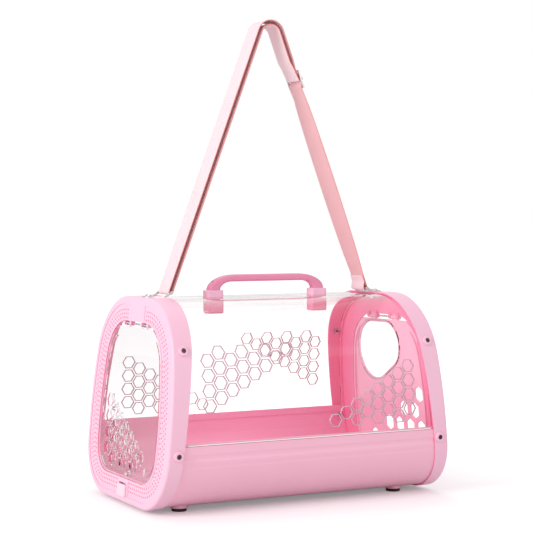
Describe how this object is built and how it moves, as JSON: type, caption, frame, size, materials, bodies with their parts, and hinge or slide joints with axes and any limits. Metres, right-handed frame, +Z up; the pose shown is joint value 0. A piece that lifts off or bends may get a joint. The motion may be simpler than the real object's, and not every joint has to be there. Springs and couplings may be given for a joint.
{
  "type": "hard pet carrier",
  "caption": "Hard carrier for a small pet: moulded end caps with top-hinged doors, clear vented shell, tray base, arched top handle and adjustable shoulder strap.",
  "frame": {"origin": "on the ground under the middle of the carrier, level with the undersides of the feet", "axes": "+Z up, -Y the long front face seen in the picture, +X to the right-hand end with the moulded door"},
  "size_m": [0.4794, 0.3154, 0.7185],
  "materials": {
    "cap_plastic": "satin",
    "tray_plastic": "satin",
    "handle_plastic": "satin",
    "clear_plastic": "clear",
    "webbing": "woven",
    "steel": "bright",
    "dark_steel": "dark",
    "brass": "bright",
    "foot_rubber": "matte"
  },
  "bodies": {
    "carrier": {"left_end_cap": "cap_plastic", "right_end_cap": "cap_plastic", "clear_shell": "clear_plastic", "base_tray": "tray_plastic", "floor_plate": "tray_plastic", "left_hinge_pin": "steel", "right_hinge_pin": "steel", "cap_washers": "cap_plastic", "cap_screws": "dark_steel", "cap_nuts": "steel", "feet": "foot_rubber", "foot_screws": "steel", "handle_collars": "cap_plastic", "handle_arch": "handle_plastic", "handle_blocks": "handle_plastic", "handle_screws": "brass", "left_strap_bracket": "steel", "right_strap_bracket": "steel", "bracket_screws": "steel", "bracket_nuts": "steel", "shoulder_strap": "webbing", "strap_slider": "steel"},
    "left_door_swing": {"left_door": "clear_plastic"},
    "right_door_swing": {"right_door": "cap_plastic", "window_pane": "clear_plastic"},
    "left_latch_slide": {"left_latch": "cap_plastic"},
    "right_latch_slide": {"right_latch": "cap_plastic"}
  },
  "joints": [
    {"name": "left_door_hinge", "type": "hinge", "parent": "carrier", "child": "left_door_swing", "pos_m": [-0.21094, 0, 0.26401], "axis": [0, 1, 0], "range_deg": [0, 100]},
    {"name": "right_door_hinge", "type": "hinge", "parent": "carrier", "child": "right_door_swing", "pos_m": [0.21094, 0, 0.26401], "axis": [0, -1, 0], "range_deg": [0, 100]},
    {"name": "left_latch_travel", "type": "slide", "parent": "carrier", "child": "left_latch_slide", "axis": [-0.0917, 0, -0.9958], "range_m": [0, 0.006]},
    {"name": "right_latch_travel", "type": "slide", "parent": "carrier", "child": "right_latch_slide", "axis": [0.0917, 0, -0.9958], "range_m": [0, 0.006]}
  ]
}
